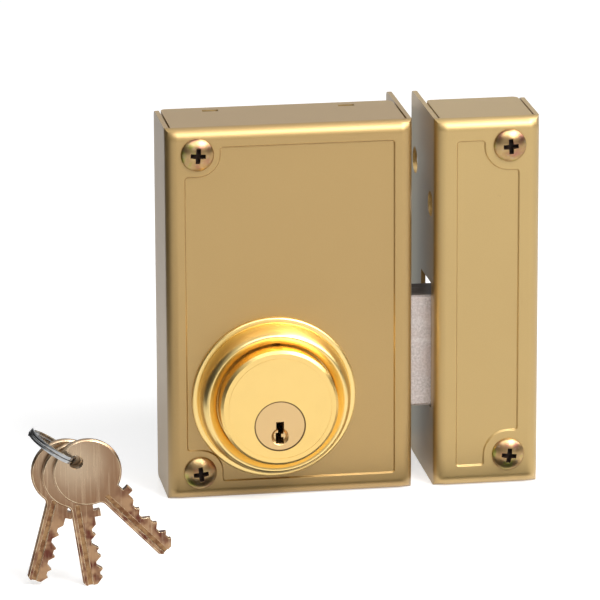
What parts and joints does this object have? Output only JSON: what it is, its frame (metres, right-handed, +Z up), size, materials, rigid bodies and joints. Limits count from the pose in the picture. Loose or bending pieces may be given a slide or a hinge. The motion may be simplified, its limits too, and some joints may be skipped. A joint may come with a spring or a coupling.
{
  "type": "rim box lock",
  "caption": "Surface-mounted door lock in a folded sheet-metal case with a key cylinder, a sliding dead bolt, a matching box strike and a ring of keys.",
  "frame": {"origin": "middle of the underside of the lock case, on the surface it stands on", "axes": "+X from the lock towards the strike, the way the bolt is thrown; +Y into the door; +Z up"},
  "size_m": [0.1777, 0.1339, 0.125],
  "materials": {
    "gold_paint": "satin metallic paint over folded steel sheet",
    "polished_brass": "turned and polished brass",
    "satin_brass": "turned brass with a satin lacquered face",
    "plug_brass": "fine-brushed brass, slightly pink",
    "yellow_zinc": "yellow-passivated zinc on steel, with a pink and green sheen",
    "bolt_steel": "pale grained zinc plating on steel",
    "plain_steel": "bright zinc plating on pressed steel",
    "spring_steel": "blued spring steel",
    "ring_steel": "nickel-plated spring wire",
    "key_brass": "stamped and milled brass with copper-toned cuts"
  },
  "bodies": {
    "lock": {"case_shell": "gold_paint", "back_plate": "plain_steel", "bolt_bridge": "plain_steel", "bridge_rivets": "plain_steel", "guide_stud": "plain_steel", "guide_washer": "plain_steel", "brake_spring": "spring_steel", "brake_rivet": "plain_steel", "case_spacers": "plain_steel", "case_screws": "yellow_zinc", "rosette_ring": "polished_brass", "cylinder_body": "satin_brass", "cylinder_clip": "spring_steel", "pin_springs": "spring_steel", "chamber_caps": "plug_brass"},
    "bolt": {"bolt": "bolt_steel"},
    "plug": {"plug": "plug_brass", "key_pins": "plug_brass", "plug_washer": "plain_steel", "drive_gear": "plain_steel", "gear_screw": "plain_steel"},
    "driver_pins": {"driver_pins": "plug_brass"},
    "strike": {"strike_shell": "gold_paint", "strike_spacers": "plain_steel", "strike_screws": "yellow_zinc"},
    "key_ring": {"split_ring": "ring_steel"},
    "front_key": {"front_key": "key_brass"},
    "middle_key": {"middle_key": "key_brass"},
    "left_key": {"left_key": "key_brass"}
  },
  "joints": [
    {"name": "plug_turn", "type": "hinge", "parent": "lock", "child": "plug", "pos_m": [-0.0057, 0, 0.0281], "axis": [0, -1, 0], "range_deg": [0, 360]},
    {"name": "bolt_slide", "type": "slide", "parent": "lock", "child": "bolt", "axis": [-1, 0, 0], "range_m": [0, 0.0201]},
    {"name": "driver_pin_lift", "type": "slide", "parent": "lock", "child": "driver_pins", "axis": [0, 0, 1], "range_m": [0, 0.0015], "stiffness_N_per_m": 500, "springref_m": -0.002, "deforming": ["pin_springs"]},
    {"name": "strike_removal", "type": "slide", "parent": "lock", "child": "strike", "axis": [1, 0, 0], "range_m": [0, 0.06]},
    {"name": "key_ring_lift", "type": "slide", "parent": "lock", "child": "key_ring", "axis": [0, 0, 1], "range_m": [0, 0.06]},
    {"name": "front_key_swing", "type": "hinge", "parent": "key_ring", "child": "front_key", "pos_m": [-0.07993, -0.0975, 0.04135], "axis": [0, -1, 0], "range_deg": [0, 40]},
    {"name": "middle_key_swing", "type": "hinge", "parent": "key_ring", "child": "middle_key", "pos_m": [-0.0804, -0.095, 0.04112], "axis": [0, -1, 0], "range_deg": [0, 25]},
    {"name": "left_key_swing", "type": "hinge", "parent": "key_ring", "child": "left_key", "pos_m": [-0.08153, -0.0925, 0.04135], "axis": [0, 1, 0], "range_deg": [0, 40]}
  ],
  "couplings": [
    {"joint": "plug_turn", "follows": "bolt_slide", "rad_per_m": 312.5}
  ]
}
